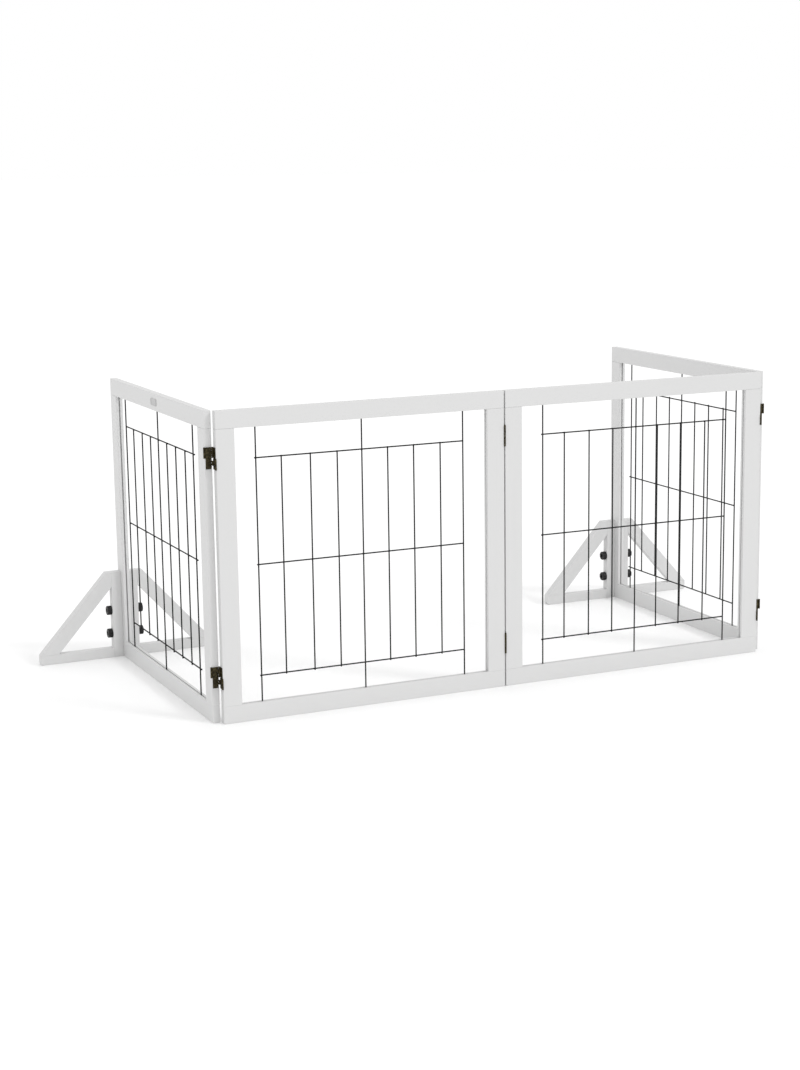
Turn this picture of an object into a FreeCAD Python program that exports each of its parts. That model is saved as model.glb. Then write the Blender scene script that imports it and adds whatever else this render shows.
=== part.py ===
"""Free-standing four-panel pet gate: framed wire panels on double-action hinges.

Millimetres, +Z up, +X along the front pair of panels, +Y towards the open back.
The origin is on the floor under the middle of the gate's bounding box. The two
middle panels stand in line, and each end panel is folded back by side_fold.
"""
import FreeCAD, Part
import math
import os
from FreeCAD import Vector

os.makedirs("parts", exist_ok=True)

# ---- panel frames ----
panel_width = 610.0
panel_height = 610.0
panel_thickness = 15.0
stile_width = 38.0
rail_height = 35.0
edge_round = 1.0
dowel_radius = 3.0
dowel_depth = 12.0
dowel_spacing = 18.0
groove_width = 3.2            # groove round the inside of the frame, for the wires
groove_depth = 6.0

# ---- wire grid; the first wire is at the left of panels 1 and 2, at the right of 3 and 4 ----
wire_radius = 1.4
wire_weld = 0.3               # how far crossing wires sink into each other
wire_rail_depth = 8.0
wire_overhang = 2.0
wire_gaps = (52.0, 60.0, 56.0, 52.0, 55.0, 56.0, 58.0, 50.0)   # nominal spacing, shared out
wire_first_margin = 44.0      # stile to first wire
wire_last_margin = 51.0       # stile to last wire
long_wires = (0, 4, 8)
grid_top_margin = 61.0        # top rail to highest cross wire
grid_bottom_margin = 51.0     # bottom rail to lowest cross wire
grid_middle_share = 0.514     # middle cross wire, as a share of the grid's height

# ---- double-action hinges ----
leaf_thickness = 0.8
leaf_clearance = 0.15
hinge_length = 42.0
hinge_end_offset = 91.0       # panel end to hinge centre
barrel_radius = 1.85
barrel_offset = 0.8           # barrel axis outside the panel's face
pin_radius = 0.9
pin_clearance = 0.05
pin_head_radius = 1.5
pin_head_height = 0.6
knuckle_gap = 0.25
link_gap = 0.15                # hinge centre to each link plate
short_knuckles = (5.0, 14.0)   # reach of the lower rear set, from the hinge's centre
leaf_setback = 2.0            # plate edge behind the panel's face
screw_radius = 1.1
screw_head_radius = 2.1
screw_length = 14.0
screw_spacing = 24.0

# ---- support feet ----
side_fold = 90.0
foot_height = 190.0
foot_length = 185.0
foot_depth = 18.0
foot_inset = 4.0              # free end of the panel to the foot
upright_thickness = 22.0
foot_base_height = 21.0
brace_width = 30.0
foot_top_length = 33.0
foot_toe_chamfer = 3.0
bolt_heights = (53.0, 104.0)
bolt_radius = 3.0
bolt_clearance = 0.3
nut_clearance = 0.1
knob_radius = 10.0
knob_thickness = 10.0
knob_gap = 0.3
knob_lobes = 8
lobe_cut_radius = 3.0
knob_recess_radius = 4.5
knob_recess_depth = 2.0
knob_round = 0.8

# ---- nameplate ----
plate_width = 35.0
plate_height = 14.0
plate_thickness = 1.0
plate_corner = 2.0
plate_border = 1.6
plate_border_depth = 0.3

# ---- derived places ----
gap = 3 * leaf_thickness + 2 * leaf_clearance
pitch = panel_width + gap
mid_y = panel_thickness / 2
front_axis_y = -barrel_offset
rear_axis_y = panel_thickness + barrel_offset
stile_length = panel_height - 2 * rail_height
hinge_centres = (hinge_end_offset, panel_height - hinge_end_offset)
rear_y = rear_axis_y + gap / 2 + panel_width
front_y = front_axis_y - barrel_radius
origin = Vector(pitch - gap / 2, (rear_y + front_y) / 2, 0)
X, Y, Z = Vector(1, 0, 0), Vector(0, 1, 0), Vector(0, 0, 1)


def box(x0, x1, y0, y1, z0, z1):
    """Box between two opposite corners, given in any order."""
    low = Vector(min(x0, x1), min(y0, y1), min(z0, z1))
    return Part.makeBox(abs(x1 - x0), abs(y1 - y0), abs(z1 - z0), low)


def rod(radius, start, direction, length):
    return Part.makeCylinder(radius, length, start, direction)


def rounded(shape, radius, keep):
    """Round the straight edges that keep() accepts by their direction."""
    edges = [e for e in shape.Edges if keep(e.tangentAt(e.FirstParameter))]
    return shape.makeFillet(radius, edges)


def prism(points, y0, y1):
    """Outline in the XZ plane, drawn out from y0 to y1."""
    corners = [Vector(x, y0, z) for x, z in points]
    face = Part.Face(Part.makePolygon(corners + corners[:1]))
    return face.extrude(Vector(0, y1 - y0, 0))


# ---- one panel, at x 0..panel_width, y 0..panel_thickness ----

def dowel_places():
    """Centres of the dowels at a rail's joint face, as (x, z of the joint)."""
    for stile_middle in (stile_width / 2, panel_width - stile_width / 2):
        for side in (-1, 1):
            for joint_z in (rail_height, panel_height - rail_height):
                yield stile_middle + side * dowel_spacing / 2, joint_z


def dowels():
    return [rod(dowel_radius, Vector(x, mid_y, z - dowel_depth), Z, 2 * dowel_depth)
            for x, z in dowel_places()]


def grid_levels():
    """Heights of the three cross wires, lowest first."""
    low = rail_height + grid_bottom_margin
    high = panel_height - rail_height - grid_top_margin
    return low, low + grid_middle_share * (high - low), high


def wire_places(mirrored):
    """x of the nine upright wires."""
    start = stile_width + wire_first_margin
    span = panel_width - stile_width - wire_last_margin - start
    places = [start + span * sum(wire_gaps[:i]) / sum(wire_gaps) for i in range(len(wire_gaps) + 1)]
    if mirrored:
        places = [panel_width - x for x in places]
    return places


def upright_wires(mirrored):
    """Upright wires, the long ones let into both rails."""
    low, _, high = grid_levels()
    wires = []
    for i, x in enumerate(wire_places(mirrored)):
        if i in long_wires:
            bottom = rail_height - wire_rail_depth
            top = panel_height - rail_height + wire_rail_depth
        else:
            bottom, top = low - wire_overhang, high + wire_overhang
        wires.append(rod(wire_radius, Vector(x, mid_y, bottom), Z, top - bottom))
    return wires


def wire_grid(mirrored):
    """Three cross wires welded across nine upright wires: one solid."""
    places = wire_places(mirrored)
    left = min(places) - wire_overhang
    length = max(places) + wire_overhang - left
    cross_y = mid_y + 2 * wire_radius - wire_weld
    cross = [rod(wire_radius, Vector(left, cross_y, z), X, length) for z in grid_levels()]
    uprights = upright_wires(mirrored)
    return cross[0].fuse(cross[1:] + uprights)


def groove():
    """The frame's opening, reaching into all four boards at the wires' plane."""
    return box(stile_width - groove_depth, panel_width - stile_width + groove_depth,
               mid_y - groove_width / 2, mid_y + groove_width / 2,
               rail_height - groove_depth, panel_height - rail_height + groove_depth)


def rail(bottom_z, mirrored):
    shape = box(0, panel_width, 0, panel_thickness, bottom_z, bottom_z + rail_height)
    shape = rounded(shape, edge_round, lambda d: True)
    holes = dowels() + [w for i, w in enumerate(upright_wires(mirrored)) if i in long_wires]
    return shape.cut(holes + [groove()])


def stile(left_x):
    shape = box(left_x, left_x + stile_width, 0, panel_thickness,
                rail_height, panel_height - rail_height)
    shape = rounded(shape, edge_round, lambda d: abs(d.z) > 0.9)
    return shape.cut(dowels() + [groove()])


# ---- one hinge, about the middle of the gap between two panels in line ----

def barrel(axis_y, low, high, bore):
    ring = rod(barrel_radius, Vector(0, axis_y, low), Z, high - low)
    return ring, rod(bore, Vector(0, axis_y, low), Z, high - low)


def knuckle_bands(upper, front):
    """Three knuckles in a row, from the hinge's centre outwards; the lower rear set is short."""
    first, last = knuckle_gap, hinge_length / 2
    if not upper and not front:
        first, last = short_knuckles
    share = (last - first) / 3
    return [(first + i * share + knuckle_gap / 2, first + (i + 1) * share - knuckle_gap / 2)
            for i in range(3)]


def half_bands(centre_z, upper, front, which):
    """Chosen knuckles of one set, as heights."""
    bands = [knuckle_bands(upper, front)[i] for i in which]
    if upper:
        return [(centre_z + a, centre_z + b) for a, b in bands]
    return [(centre_z - b, centre_z - a) for a, b in bands]


def hinge_plate(x0, x1, low, high, sets):
    """A plate in the gap; sets holds (heights, axis y, bore) of the knuckles rolled at its edges."""
    plate = box(x0, x1, leaf_setback, panel_thickness - leaf_setback, low, high)
    holes = []
    for bands, axis_y, bore in sets:
        for bottom, top in bands:
            ring, hole = barrel(axis_y, bottom, top, bore)
            plate = plate.fuse([ring, box(x0, x1, axis_y, mid_y, bottom, top)])
            holes.append(hole)
    return plate.cut(holes).removeSplitter()


def screw_heights(centre_z):
    return centre_z - screw_spacing / 2, centre_z + screw_spacing / 2


def leaf_screw(side, z):
    """Countersunk screw through a leaf into the stile on that side (-1 left, 1 right)."""
    face_x = side * (gap / 2 - leaf_thickness)
    start = Vector(face_x, mid_y, z)
    head = Part.makeCone(screw_head_radius, screw_radius, leaf_thickness, start, X * side)
    return head.fuse(rod(screw_radius, start, X * side, screw_length))


def leaf(side, folding, centre_z):
    """Leaf on the panel at that side. The folding panel's leaf holds the upper link in
    front and the lower link behind; the other leaf holds them the other way round."""
    bore = pin_radius + pin_clearance
    half = hinge_length / 2
    sets = [(half_bands(centre_z, folding, True, (0, 2)), front_axis_y, bore),
            (half_bands(centre_z, not folding, False, (0, 2)), rear_axis_y, bore)]
    plate = hinge_plate(side * (gap / 2 - leaf_thickness), side * gap / 2,
                        centre_z - half, centre_z + half, sets)
    return plate.cut([leaf_screw(side, z) for z in screw_heights(centre_z)])


def link(upper, centre_z):
    """Middle plate of the upper or lower half, one solid with its two riveted pins."""
    way = 1 if upper else -1
    low, high = sorted((centre_z + way * link_gap, centre_z + way * hinge_length / 2))
    axes = ((front_axis_y, True), (rear_axis_y, False))
    sets = [(half_bands(centre_z, upper, front, (1,)), axis_y, pin_radius / 2) for axis_y, front in axes]
    plate = hinge_plate(-leaf_thickness / 2, leaf_thickness / 2, low, high, sets)
    pins = [hinge_pin(upper, front, axis_y, centre_z) for axis_y, front in axes]
    return plate.fuse(pins).removeSplitter()


def hinge_pin(upper, front, axis_y, centre_z):
    """Pin through one set of knuckles, with a flat head at its outer end."""
    way = Z if upper else -Z
    bands = knuckle_bands(upper, front)
    start, end = bands[0][0], bands[2][1]
    place = Vector(0, axis_y, centre_z)
    shaft = rod(pin_radius, place + way * start, way, end - start + pin_head_height)
    return shaft.fuse(rod(pin_head_radius, place + way * (end + pin_clearance), way, pin_head_height))


# ---- one support foot, at the left end of a panel, standing out from y 0 towards -Y ----

def foot_prism(points):
    """Outline as (distance from the panel, height), at the foot's depth along X."""
    corners = [Vector(foot_inset, -d, z) for d, z in points]
    face = Part.Face(Part.makePolygon(corners + corners[:1]))
    return face.extrude(Vector(foot_depth, 0, 0))


def bolt_holes():
    """Clearance holes for the foot bolts, long enough for both feet and the stile."""
    reach = upright_thickness + 1
    return [rod(bolt_radius + bolt_clearance, Vector(foot_inset + foot_depth / 2, -reach, z), Y,
                panel_thickness + 2 * reach) for z in bolt_heights]


def foot_upright():
    shape = foot_prism([(0, 0), (upright_thickness, 0), (upright_thickness, foot_height), (0, foot_height)])
    return rounded(shape, edge_round, lambda d: abs(d.z) > 0.9).cut(bolt_holes())


def foot_base():
    toe = foot_length - foot_toe_chamfer
    shape = foot_prism([(upright_thickness, 0), (toe, 0), (foot_length, foot_toe_chamfer),
                        (foot_length, foot_base_height), (upright_thickness, foot_base_height)])
    return rounded(shape, edge_round, lambda d: abs(d.y) > 0.9)


def foot_brace():
    """Slanting brace: its outer edge runs from the toe to the foot's top."""
    run = foot_length - foot_top_length
    rise = foot_height - foot_base_height
    slant = math.hypot(run, rise)
    inner_drop = brace_width * slant / run        # measured down the upright
    inner_run = brace_width * slant / rise        # measured along the base
    edge_at_upright = foot_height + (foot_top_length - upright_thickness) * rise / run
    return foot_prism([(foot_length, foot_base_height), (foot_top_length, foot_height),
                       (upright_thickness, foot_height), (upright_thickness, edge_at_upright - inner_drop),
                       (foot_length - inner_run, foot_base_height)])


def knob_body(start, way):
    """Lobed hand knob standing on start, with a round recess in its outer face."""
    body = rod(knob_radius, start, way, knob_thickness)
    body = body.makeFillet(knob_round, [e for e in body.Edges if len(e.Vertexes) == 1])
    cuts = []
    for i in range(knob_lobes):
        turn = 2 * math.pi * i / knob_lobes
        reach = knob_radius + lobe_cut_radius * 0.6
        side = Vector(math.cos(turn), 0, math.sin(turn)) * reach
        cuts.append(rod(lobe_cut_radius, start + side - way, way, knob_thickness + 2))
    recess = rod(knob_recess_radius, start + way * (knob_thickness - knob_recess_depth), way, knob_thickness)
    return body.cut(cuts + [recess])


def knob_bolt(z):
    """Hand knob with its bolt, which runs through both feet and the stile."""
    middle = foot_inset + foot_depth / 2
    seat = upright_thickness + knob_gap
    length = panel_thickness + 2 * seat + knob_thickness - knob_recess_depth
    body = knob_body(Vector(middle, -seat, z), -Y)
    return body.fuse(rod(bolt_radius, Vector(middle, -seat - 1, z), Y, length)).removeSplitter()


def knob_nut(z):
    """Hand nut on the other foot, bored for the bolt."""
    start = Vector(foot_inset + foot_depth / 2, panel_thickness + upright_thickness, z)
    return knob_body(start, Y).cut(rod(bolt_radius + nut_clearance, start - Y, Y, knob_thickness + 2))


def nameplate():
    """Blank plate with a raised border, on the front of the top rail."""
    middle_x = panel_width / 2
    middle_z = panel_height - rail_height / 2
    half_w, half_h = plate_width / 2, plate_height / 2
    plate = box(middle_x - half_w, middle_x + half_w, -plate_thickness, 0,
                middle_z - half_h, middle_z + half_h)
    plate = rounded(plate, plate_corner, lambda d: abs(d.y) > 0.9)
    field = box(middle_x - half_w + plate_border, middle_x + half_w - plate_border,
                -plate_thickness, plate_border_depth - plate_thickness,
                middle_z - half_h + plate_border, middle_z + half_h - plate_border)
    return plate.cut(field)


# ---- the four panels in their places ----

def turned(shape, axis_x, degrees):
    """Copy of the shape, turned about the rear hinge axis at axis_x."""
    copy = shape.copy()
    copy.rotate(Vector(axis_x, rear_axis_y, 0), Z, degrees)
    return copy


def in_panel(number, shape):
    """Copy of a shape from the panel's own frame to its place in the gate."""
    moved = shape.copy()
    moved.translate(Vector((number - 2) * pitch, 0, 0))
    if number == 1:
        return turned(moved, -gap / 2, -side_fold)
    if number == 4:
        return turned(moved, 2 * pitch - gap / 2, side_fold)
    return moved


def mirrored_in_panel(shape):
    """Mirror image of a shape about the panel's middle, left to right."""
    return shape.mirror(Vector(panel_width / 2, 0, 0), X)


def mirrored_through(shape):
    """Mirror image of a shape about the panel's middle plane, front to back."""
    return shape.mirror(Vector(0, mid_y, 0), Y)


def save(name, shapes):
    """Write one node: every shape, moved so that the gate's origin is at zero."""
    solids = []
    for shape in shapes:
        placed = shape.copy()
        placed.translate(-origin)
        solids += placed.Solids
    result = solids[0] if len(solids) == 1 else Part.makeCompound(solids)
    result.exportStep("parts/%s.step" % name)


def build_panel(number):
    mirrored = number in (3, 4)
    pieces = {
        "top_rail": [rail(panel_height - rail_height, mirrored)],
        "bottom_rail": [rail(0, mirrored)],
        "left_stile": [stile(0)],
        "right_stile": [stile(panel_width - stile_width)],
        "wire_grid": [wire_grid(mirrored)],
        "dowels": dowels(),
    }
    bored = {1: "left_stile", 4: "right_stile"}.get(number)
    for name, shapes in pieces.items():
        if name == bored:
            holes = bolt_holes()
            if number == 4:
                holes = [mirrored_in_panel(hole) for hole in holes]
            shapes = [shapes[0].cut(holes)]
        if name.endswith("stile"):
            shapes = [shapes[0].cut(stile_screw_holes(name, number))]
        save("panel_%d_%s" % (number, name), [in_panel(number, s) for s in shapes])


def stile_screw_holes(name, number):
    """Pilot holes in a stile that carries hinge leaves; the free stiles have none."""
    on_left = name == "left_stile"
    if (on_left and number == 1) or (not on_left and number == 4):
        return []
    return panel_screws(1 if on_left else -1)


def panel_screws(side):
    """Hinge screws in a panel's own frame; side 1 is its left end, -1 its right end."""
    joint_x = -gap / 2 if side == 1 else panel_width + gap / 2
    screws = []
    for centre_z in hinge_centres:
        for z in screw_heights(centre_z):
            screw = leaf_screw(side, z)
            screw.translate(Vector(joint_x, 0, 0))
            screws.append(screw)
    return screws


def build_screws(number):
    ends = {1: (-1,), 2: (1, -1), 3: (1, -1), 4: (1,)}[number]
    screws = [in_panel(number, s) for side in ends for s in panel_screws(side)]
    save("hinge_screws_%d" % number, screws)


def build_joint(left_number):
    """Two hinges between a panel and the next. At panels 1 and 4 the upper links fold
    with the end panel, and the lower links stay with the front row."""
    right_number = left_number + 1
    joint_x = (left_number - 1) * pitch - gap / 2
    fold_side = -1 if left_number == 1 else 1
    degrees = {1: -side_fold, 2: 0, 3: side_fold}[left_number]

    def put(shape, folds):
        copy = shape.copy()
        copy.translate(Vector(joint_x, 0, 0))
        return turned(copy, joint_x, degrees) if folds and degrees else copy

    pair = "hinge_%d%d_" % (left_number, right_number)
    for side, label in ((-1, "left"), (1, "right")):
        folds = side == fold_side
        save(pair + label + "_leaf", [put(leaf(side, folds, z), folds) for z in hinge_centres])
    for upper, label in ((True, "upper"), (False, "lower")):
        save(pair + label + "_link", [put(link(upper, z), upper) for z in hinge_centres])


def build_feet(number):
    """Two feet, two knob bolts and two knob nuts at the free end of an end panel."""
    def place(shape):
        if number == 4:
            shape = mirrored_in_panel(shape)
        return in_panel(number, shape)

    for piece, shape in (("upright", foot_upright()), ("base", foot_base()), ("brace", foot_brace())):
        save("foot_%d_outer_%s" % (number, piece), [place(shape)])
        save("foot_%d_inner_%s" % (number, piece), [place(mirrored_through(shape))])
    for level, z in zip(("lower", "upper"), bolt_heights):
        save("foot_%d_%s_knob_bolt" % (number, level), [place(knob_bolt(z))])
    save("foot_%d_knob_nuts" % number, [place(knob_nut(z)) for z in bolt_heights])


for number in (1, 2, 3, 4):
    build_panel(number)
    build_screws(number)
for left_number in (1, 2, 3):
    build_joint(left_number)
for number in (1, 4):
    build_feet(number)
save("nameplate", [in_panel(1, nameplate())])
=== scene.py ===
# %% [markdown]
# # A folding pet gate in white paint and black wire
#
# The gate is a line of framed panels on double-action hinges. Its shapes are fixed by the
# engineering model, so the work here is finishes, small welded details, light and camera.
# We load the model first.

# %% Load the gate
import math

import bpy
from mathutils import Matrix, Quaternion, Vector


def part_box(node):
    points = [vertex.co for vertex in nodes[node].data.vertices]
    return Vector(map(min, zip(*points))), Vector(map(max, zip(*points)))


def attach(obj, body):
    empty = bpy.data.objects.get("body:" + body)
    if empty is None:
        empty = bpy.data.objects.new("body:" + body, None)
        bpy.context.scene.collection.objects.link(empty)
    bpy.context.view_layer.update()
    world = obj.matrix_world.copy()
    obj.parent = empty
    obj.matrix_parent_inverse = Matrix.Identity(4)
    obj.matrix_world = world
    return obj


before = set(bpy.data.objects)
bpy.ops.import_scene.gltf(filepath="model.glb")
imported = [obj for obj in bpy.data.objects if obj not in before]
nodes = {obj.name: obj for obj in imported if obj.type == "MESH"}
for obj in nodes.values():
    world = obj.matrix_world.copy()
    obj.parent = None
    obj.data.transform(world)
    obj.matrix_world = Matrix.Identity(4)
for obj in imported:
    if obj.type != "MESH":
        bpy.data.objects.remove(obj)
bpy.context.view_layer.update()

# %% [markdown]
# The camera stands to the left of the gate, a little above it, and looks slightly down.
# A long lens from more than four metres keeps the uprights nearly parallel, as in a
# catalogue picture.
# The direction is built from three plain angles: heading, downward tilt and a trace of roll.

# %% Camera
CAMERA_PLACE = Vector((-1.852, -3.890, 1.107))
CAMERA_HEADING = math.radians(24.34)
CAMERA_TILT = math.radians(11.08)
CAMERA_ROLL = math.radians(-0.81)
CAMERA_LENS = 68.15
SENSOR = 36.0

camera_data = bpy.data.cameras.new("camera")
camera_data.lens = CAMERA_LENS
camera_data.sensor_fit = "AUTO"
camera_data.sensor_width = SENSOR
camera = bpy.data.objects.new("camera", camera_data)
heading = Quaternion((0, 0, 1), -CAMERA_HEADING)
tilt = Quaternion((1, 0, 0), math.pi / 2 - CAMERA_TILT)
roll = Quaternion((0, 0, 1), CAMERA_ROLL)
turn = heading @ tilt @ roll
camera.matrix_world = Matrix.Translation(CAMERA_PLACE) @ turn.to_matrix().to_4x4()
bpy.context.scene.collection.objects.link(camera)
bpy.context.scene.camera = camera
print("camera at", tuple(CAMERA_PLACE), "lens", CAMERA_LENS)

# %% [markdown]
# A white gate on a white floor is a picture made of soft greys. The studio is therefore a
# bright, even sky that fills every shadow, with one weak sun on the front right. The sun
# lifts the front faces and shades the corners behind a hinge or beside a foot; the faces
# turned to the left keep the plain tone of the sky.

# %% Sky and sun
SKY_STRENGTH = 1.0
SUN_STRENGTH = 0.65
SUN_FROM = Vector((2.1, -2.5, 2.3))
SUN_WIDTH = math.radians(14)

world = bpy.data.worlds.new("studio_sky")
world.use_nodes = True
sky = world.node_tree.nodes["Background"]
sky.inputs["Color"].default_value = (1.0, 1.0, 1.0, 1.0)
sky.inputs["Strength"].default_value = SKY_STRENGTH
bpy.context.scene.world = world
bpy.context.scene.view_settings.view_transform = "Standard"

sun_data = bpy.data.lights.new("soft_sun", "SUN")
sun_data.energy = SUN_STRENGTH
sun_data.angle = SUN_WIDTH
sun = bpy.data.objects.new("soft_sun", sun_data)
sun.location = SUN_FROM
sun.rotation_euler = (-SUN_FROM).to_track_quat("-Z", "Y").to_euler()
bpy.context.scene.collection.objects.link(sun)
print("sky", SKY_STRENGTH, "sun", SUN_STRENGTH)

# %% [markdown]
# The floor is one very large plain disc. It is almost pure white, so that where nothing
# shades it, floor and sky meet without a line.

# %% Floor
FLOOR_RADIUS = 60.0
FLOOR_COLOUR = (0.975, 0.975, 0.975, 1.0)
FLOOR_ROUGHNESS = 0.9

bpy.ops.mesh.primitive_circle_add(vertices=96, radius=FLOOR_RADIUS, fill_type="NGON")
floor = bpy.context.object
floor.name = "floor"
floor_paint = bpy.data.materials.new("floor_paint")
floor_paint.use_nodes = True
floor_shader = floor_paint.node_tree.nodes["Principled BSDF"]
floor_shader.inputs["Base Color"].default_value = FLOOR_COLOUR
floor_shader.inputs["Roughness"].default_value = FLOOR_ROUGHNESS
floor_shader.inputs["Specular IOR Level"].default_value = 0.0
floor.data.materials.append(floor_paint)

# %% [markdown]
# Every finish here is a plain shader fed by a few shared patterns. A pattern that more than
# one material uses is a node group: a small machine with named inputs and outputs. The
# helpers below make a group and fill it with wired nodes, so each pattern reads as a recipe.

# %% Node helpers
FLOAT, VECTOR = "NodeSocketFloat", "NodeSocketVector"


def new_group(name, inputs, outputs):
    """An empty shader group with named float or vector sockets, and its two end nodes."""
    group = bpy.data.node_groups.new(name, "ShaderNodeTree")
    for title, kind, value in inputs:
        socket = group.interface.new_socket(name=title, in_out="INPUT", socket_type=kind)
        if value is not None:
            socket.default_value = value
    for title, kind in outputs:
        group.interface.new_socket(name=title, in_out="OUTPUT", socket_type=kind)
    start = group.nodes.new("NodeGroupInput")
    end = group.nodes.new("NodeGroupOutput")
    return group, start, end


def add_node(tree, kind, **settings):
    """A node with its properties set, and its sockets given by name or number."""
    node = tree.nodes.new(kind)
    sockets = settings.pop("sockets", {})
    for key, value in settings.items():
        setattr(node, key, value)
    for key, value in sockets.items():
        if isinstance(value, bpy.types.NodeSocket):
            tree.links.new(value, node.inputs[key])
        else:
            node.inputs[key].default_value = value
    return node


def between(tree, value, low, high):
    """The 0 to 1 value, stretched to run from low to high."""
    node = add_node(tree, "ShaderNodeMapRange", sockets={
        "Value": value, "To Min": low, "To Max": high})
    return node.outputs["Result"]

# %% [markdown]
# Painted wood keeps a ghost of its grain. Long, thin noise gives the grain, a finer noise the
# pebbled skin of a sprayed film, and a broad one the slow clouds in its thickness. The grain
# always runs along the pattern's own X; each material turns the pattern to lie along its board.

# %% Pattern: grain under paint
def build_grain():
    group, start, end = new_group(
        "grain_under_paint",
        [("Vector", VECTOR, None), ("Across", FLOAT, 260.0), ("Along", FLOAT, 7.0),
         ("Peel", FLOAT, 900.0)],
        [("Grain", FLOAT), ("Peel", FLOAT), ("Cloud", FLOAT)])
    scale = add_node(group, "ShaderNodeCombineXYZ", sockets={
        "X": start.outputs["Along"], "Y": start.outputs["Across"], "Z": start.outputs["Across"]})
    stretched = add_node(group, "ShaderNodeVectorMath", operation="MULTIPLY", sockets={
        0: start.outputs["Vector"], 1: scale.outputs[0]})
    grain = add_node(group, "ShaderNodeTexNoise", sockets={
        "Vector": stretched.outputs[0], "Scale": 1.0, "Detail": 4.0, "Roughness": 0.6,
        "Distortion": 0.4})
    peel = add_node(group, "ShaderNodeTexNoise", sockets={
        "Vector": start.outputs["Vector"], "Scale": start.outputs["Peel"], "Detail": 2.0})
    cloud = add_node(group, "ShaderNodeTexNoise", sockets={
        "Vector": start.outputs["Vector"], "Scale": 9.0, "Detail": 3.0})
    group.links.new(grain.outputs["Fac"], end.inputs["Grain"])
    group.links.new(peel.outputs["Fac"], end.inputs["Peel"])
    group.links.new(cloud.outputs["Fac"], end.inputs["Cloud"])
    return group


grain_group = build_grain()

# %% [markdown]
# Metal and plastic share a different pattern: a fine speckle for the texture of the skin, and
# slow clouds for handling marks. Roughness follows the clouds, which breaks up reflections.

# %% Pattern: speckled skin
def build_skin():
    group, start, end = new_group(
        "speckled_skin",
        [("Vector", VECTOR, None), ("Speckle", FLOAT, 1400.0), ("Patch", FLOAT, 30.0)],
        [("Speckle", FLOAT), ("Patch", FLOAT)])
    speckle = add_node(group, "ShaderNodeTexNoise", sockets={
        "Vector": start.outputs["Vector"], "Scale": start.outputs["Speckle"], "Detail": 2.0,
        "Roughness": 0.7})
    patch = add_node(group, "ShaderNodeTexNoise", sockets={
        "Vector": start.outputs["Vector"], "Scale": start.outputs["Patch"], "Detail": 5.0,
        "Roughness": 0.65})
    sharp = add_node(group, "ShaderNodeMapRange", interpolation_type="SMOOTHSTEP", sockets={
        "Value": patch.outputs["Fac"], "From Min": 0.35, "From Max": 0.68})
    group.links.new(speckle.outputs["Fac"], end.inputs["Speckle"])
    group.links.new(sharp.outputs["Result"], end.inputs["Patch"])
    return group


skin_group = build_skin()

# %% [markdown]
# A material starts from Object coordinates, which on this gate are plain metres. For wood
# they are first turned, so that the pattern's long axis lies along the board.

# %% Material helpers
def start_material(name, turn=(0.0, 0.0, 0.0)):
    """A material with its node tree, its shader and its turned Object coordinates."""
    material = bpy.data.materials.new(name)
    material.use_nodes = True
    tree = material.node_tree
    shader = tree.nodes["Principled BSDF"]
    place = add_node(tree, "ShaderNodeTexCoord")
    turned = add_node(tree, "ShaderNodeMapping", sockets={
        "Vector": place.outputs["Object"], "Rotation": turn})
    return material, tree, shader, turned.outputs["Vector"]


def place_group(tree, group, **sockets):
    """A shared pattern, placed in a material's tree."""
    return add_node(tree, "ShaderNodeGroup", node_tree=group, sockets=sockets)


def colour_socket(sockets, name):
    """The colour socket of that name; a mix node has number sockets of the same name."""
    return next(s for s in sockets if s.name == name and s.type == "RGBA")


def mix_colours(tree, factor, first, second):
    """A colour that goes from the first to the second as the factor rises."""
    node = add_node(tree, "ShaderNodeMix", data_type="RGBA", sockets={"Factor": factor})
    colour_socket(node.inputs, "A").default_value = first
    colour_socket(node.inputs, "B").default_value = second
    return colour_socket(node.outputs, "Result")


def bump(tree, shader, layers):
    """Bumps laid one over another: each layer is a height value and a depth in metres."""
    normal = None
    for height, depth in layers:
        sockets = {"Height": height, "Distance": depth, "Strength": 1.0}
        if normal is not None:
            sockets["Normal"] = normal
        normal = add_node(tree, "ShaderNodeBump", sockets=sockets).outputs["Normal"]
    tree.links.new(normal, shader.inputs["Normal"])

# %% [markdown]
# White satin paint: nearly neutral, a touch warmer where the film is thin. The base colour is
# darker than real paint, because the all-white sky lights every face. The relief is about a
# tenth of a millimetre at most, enough to bend a highlight and no more.

# %% Finish: white satin paint
PAINT_THICK = (0.645, 0.645, 0.645, 1.0)
PAINT_THIN = (0.62, 0.619, 0.615, 1.0)
MOST_THIN = 0.6                 # share of the thin colour where the clouds are strongest
PAINT_ROUGHNESS = (0.36, 0.52)
PAINT_SHINE = 0.45
GRAIN_RELIEF = 0.00012
PEEL_RELIEF = 0.00003


def white_paint(name, turn):
    """Paint whose grain runs along X before the turn."""
    material, tree, shader, place = start_material(name, turn)
    grain = place_group(tree, grain_group, Vector=place)
    thin = between(tree, grain.outputs["Cloud"], 0.0, MOST_THIN)
    film = mix_colours(tree, thin, PAINT_THICK, PAINT_THIN)
    tree.links.new(film, shader.inputs["Base Color"])
    roughness = between(tree, grain.outputs["Grain"], *PAINT_ROUGHNESS)
    tree.links.new(roughness, shader.inputs["Roughness"])
    bump(tree, shader, [
        (grain.outputs["Grain"], GRAIN_RELIEF), (grain.outputs["Peel"], PEEL_RELIEF)])
    shader.inputs["Specular IOR Level"].default_value = PAINT_SHINE
    return material


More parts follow.
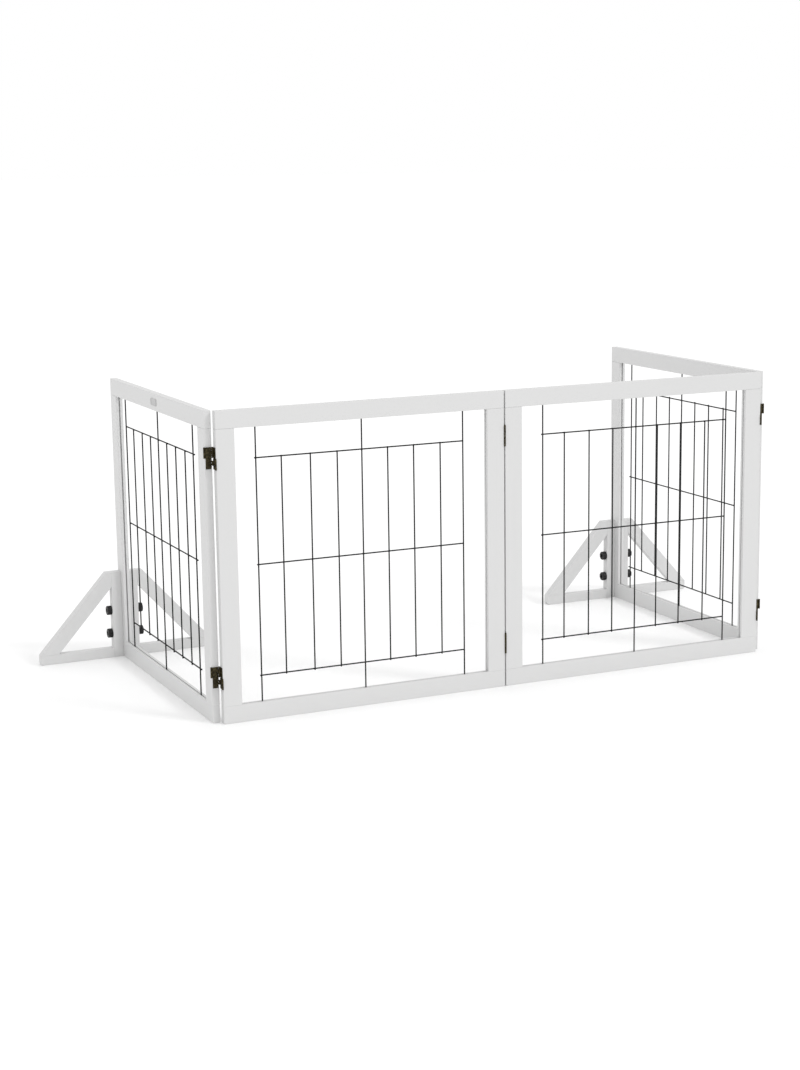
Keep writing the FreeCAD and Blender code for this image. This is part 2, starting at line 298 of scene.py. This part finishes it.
QUARTER = math.pi / 2
foot_low, foot_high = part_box("foot_1_outer_brace")
brace_slope = math.atan2(foot_high.z - foot_low.z, foot_high.x - foot_low.x)
paints = {
    "along_x": white_paint("white_paint_front_rails", (0.0, 0.0, 0.0)),
    "along_y": white_paint("white_paint_side_rails", (0.0, 0.0, QUARTER)),
    "along_z": white_paint("white_paint_stiles", (0.0, QUARTER, 0.0)),
    "rising": white_paint("white_paint_rising_braces", (0.0, brace_slope, 0.0)),
    "falling": white_paint("white_paint_falling_braces", (0.0, -brace_slope, 0.0)),
}
print("paint mixed for", ", ".join(paints))

# %% [markdown]
# The hidden dowels are bare beech: the same grain pattern, but as colour instead of relief.

# %% Finish: bare beech
BEECH_PALE = (0.62, 0.42, 0.24, 1.0)
BEECH_DARK = (0.36, 0.21, 0.10, 1.0)
BEECH_ROUGHNESS = (0.55, 0.75)
BEECH_RELIEF = 0.00008


def bare_beech():
    material, tree, shader, place = start_material("bare_beech", (0.0, QUARTER, 0.0))
    grain = place_group(tree, grain_group, Vector=place, Across=500.0, Along=30.0)
    colour = mix_colours(tree, grain.outputs["Grain"], BEECH_PALE, BEECH_DARK)
    tree.links.new(colour, shader.inputs["Base Color"])
    roughness = between(tree, grain.outputs["Cloud"], *BEECH_ROUGHNESS)
    tree.links.new(roughness, shader.inputs["Roughness"])
    bump(tree, shader, [(grain.outputs["Grain"], BEECH_RELIEF)])
    return material


beech = bare_beech()

# %% [markdown]
# Powder coat, moulded plastic, aged brass and brushed plate are one recipe with four sets of
# numbers: two colours mixed by the patches, a roughness range, the fineness of speckle and
# patches, and the speckle's depth in metres. The plate's pattern is also drawn out along Y.

# %% Finishes: metal and plastic
def skin_material(name, colours, roughness, metallic, shine, speckle, patch, depth,
                  stretch=None):
    """A finish from the speckled skin pattern."""
    material, tree, shader, place = start_material(name)
    if stretch:
        place.node.inputs["Scale"].default_value = stretch
    skin = place_group(tree, skin_group, Vector=place, Speckle=speckle, Patch=patch)
    colour = mix_colours(tree, skin.outputs["Patch"], *colours)
    tree.links.new(colour, shader.inputs["Base Color"])
    tree.links.new(between(tree, skin.outputs["Patch"], *roughness), shader.inputs["Roughness"])
    shader.inputs["Metallic"].default_value = metallic
    shader.inputs["Specular IOR Level"].default_value = shine
    bump(tree, shader, [(skin.outputs["Speckle"], depth)])
    return material


powder_coat = skin_material(
    "black_powder_coat",
    colours=((0.004, 0.004, 0.0045, 1.0), (0.009, 0.009, 0.010, 1.0)),
    roughness=(0.42, 0.58), metallic=0.0, shine=0.2,
    speckle=2600.0, patch=45.0, depth=0.00005)
moulded_black = skin_material(
    "moulded_black_plastic",
    colours=((0.005, 0.005, 0.005, 1.0), (0.010, 0.010, 0.011, 1.0)),
    roughness=(0.38, 0.52), metallic=0.0, shine=0.3,
    speckle=2200.0, patch=60.0, depth=0.00004)
aged_brass = skin_material(
    "aged_brass",
    colours=((0.012, 0.009, 0.004, 1.0), (0.085, 0.070, 0.034, 1.0)),
    roughness=(0.34, 0.56), metallic=0.7, shine=0.3,
    speckle=1800.0, patch=260.0, depth=0.00003)
brushed_plate = skin_material(
    "brushed_plate",
    colours=((0.44, 0.44, 0.44, 1.0), (0.54, 0.54, 0.53, 1.0)),
    roughness=(0.28, 0.42), metallic=1.0, shine=0.5,
    speckle=900.0, patch=60.0, depth=0.00002, stretch=(1.0, 0.05, 1.0))

# %% [markdown]
# Each node gets its finish from what it is. Boards are sorted by the way they run: the end
# panels run front to back, so their rails lie along Y, and each brace rises one way or the
# other towards its panel.

# %% Hand out the finishes
def board_finish(name):
    """White paint with its grain along the board."""
    low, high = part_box(name)
    size = high - low
    if name.endswith("brace"):
        left_of_panel = name.startswith(("foot_1_outer", "foot_4_inner"))
        return paints["rising" if left_of_panel else "falling"]
    longest = max(range(3), key=lambda i: size[i])
    return paints[("along_x", "along_y", "along_z")[longest]]


def finish_of(name):
    if name == "nameplate":
        return brushed_plate
    if "wire_grid" in name:
        return powder_coat
    if "dowels" in name:
        return beech
    if "knob" in name:
        return moulded_black
    if name.startswith("hinge"):
        return aged_brass
    return board_finish(name)


for name, node in nodes.items():
    node.data.materials.clear()
    node.data.materials.append(finish_of(name))
print("finished", len(nodes), "nodes")

# %% [markdown]
# Where two wires cross they are welded, and the squeezed metal leaves a small smooth collar.
# One collar is shaped from a ball that is flattened across the panel, then it is copied to
# every crossing. The crossings are found from the grid's own mesh, not from a list.

# %% Weld collars
WELD_RADIUS = 0.0019
WELD_DEPTH = 0.0023
LEVEL_TOLERANCE = 0.0004
WIRE_SPREAD = 0.004             # points closer than this belong to one wire
SHORT_TOPS = (0.0014, 0.0024)   # the short wires end this far above the highest cross wire


def clusters(values, spread):
    """Middles of the groups in which sorted values lie close together."""
    groups = []
    for value in sorted(values):
        if groups and value - groups[-1][-1] <= spread:
            groups[-1].append(value)
        else:
            groups.append([value])
    return [(g[0] + g[-1]) / 2 for g in groups]


def wire_crossings(number):
    """Places of the crossings of a panel's wires, and the axis along its cross wires."""
    mesh = nodes["panel_%d_wire_grid" % number].data
    low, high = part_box("panel_%d_wire_grid" % number)
    run = 0 if high.x - low.x > high.y - low.y else 1
    through = 1 - run
    points = [v.co for v in mesh.vertices]
    ends_z = [p.z for p in points if abs(p[run] - low[run]) < LEVEL_TOLERANCE]
    levels = clusters(ends_z, WIRE_SPREAD)
    highest = max(levels)
    low_top, high_top = (highest + rise for rise in SHORT_TOPS)
    wire_tops = [p[run] for p in points
                 if low_top < p.z < high_top or p.z > high.z - LEVEL_TOLERANCE]
    columns = clusters(wire_tops, WIRE_SPREAD)
    middle = (low[through] + high[through]) / 2
    places = []
    for column in columns:
        for level in levels:
            place = Vector((0, 0, level))
            place[run] = column
            place[through] = middle
            places.append(place)
    return places, run


def weld_collars(number):
    """One piece with a collar at every crossing of a panel's wires."""
    places, run = wire_crossings(number)
    shape = [WELD_RADIUS, WELD_RADIUS, WELD_RADIUS]
    shape[1 - run] = WELD_DEPTH
    collars = []
    for place in places:
        bpy.ops.object.select_all(action="DESELECT")
        bpy.ops.mesh.primitive_ico_sphere_add(
            subdivisions=2, radius=1.0, location=place, scale=shape)
        bpy.ops.object.shade_smooth()
        collars.append(bpy.context.object)
    bpy.ops.object.select_all(action="DESELECT")
    for collar in collars:
        collar.select_set(True)
    bpy.context.view_layer.objects.active = collars[0]
    bpy.ops.object.join()
    bpy.ops.object.transform_apply(location=True, rotation=True, scale=True)
    piece = bpy.context.object
    piece.name = "panel_%d_welds" % number
    piece.data.materials.clear()
    piece.data.materials.append(powder_coat)
    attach(piece, "panel_%d" % number)
    print(piece.name, "has", len(places), "collars")


for number in (1, 2, 3, 4):
    weld_collars(number)
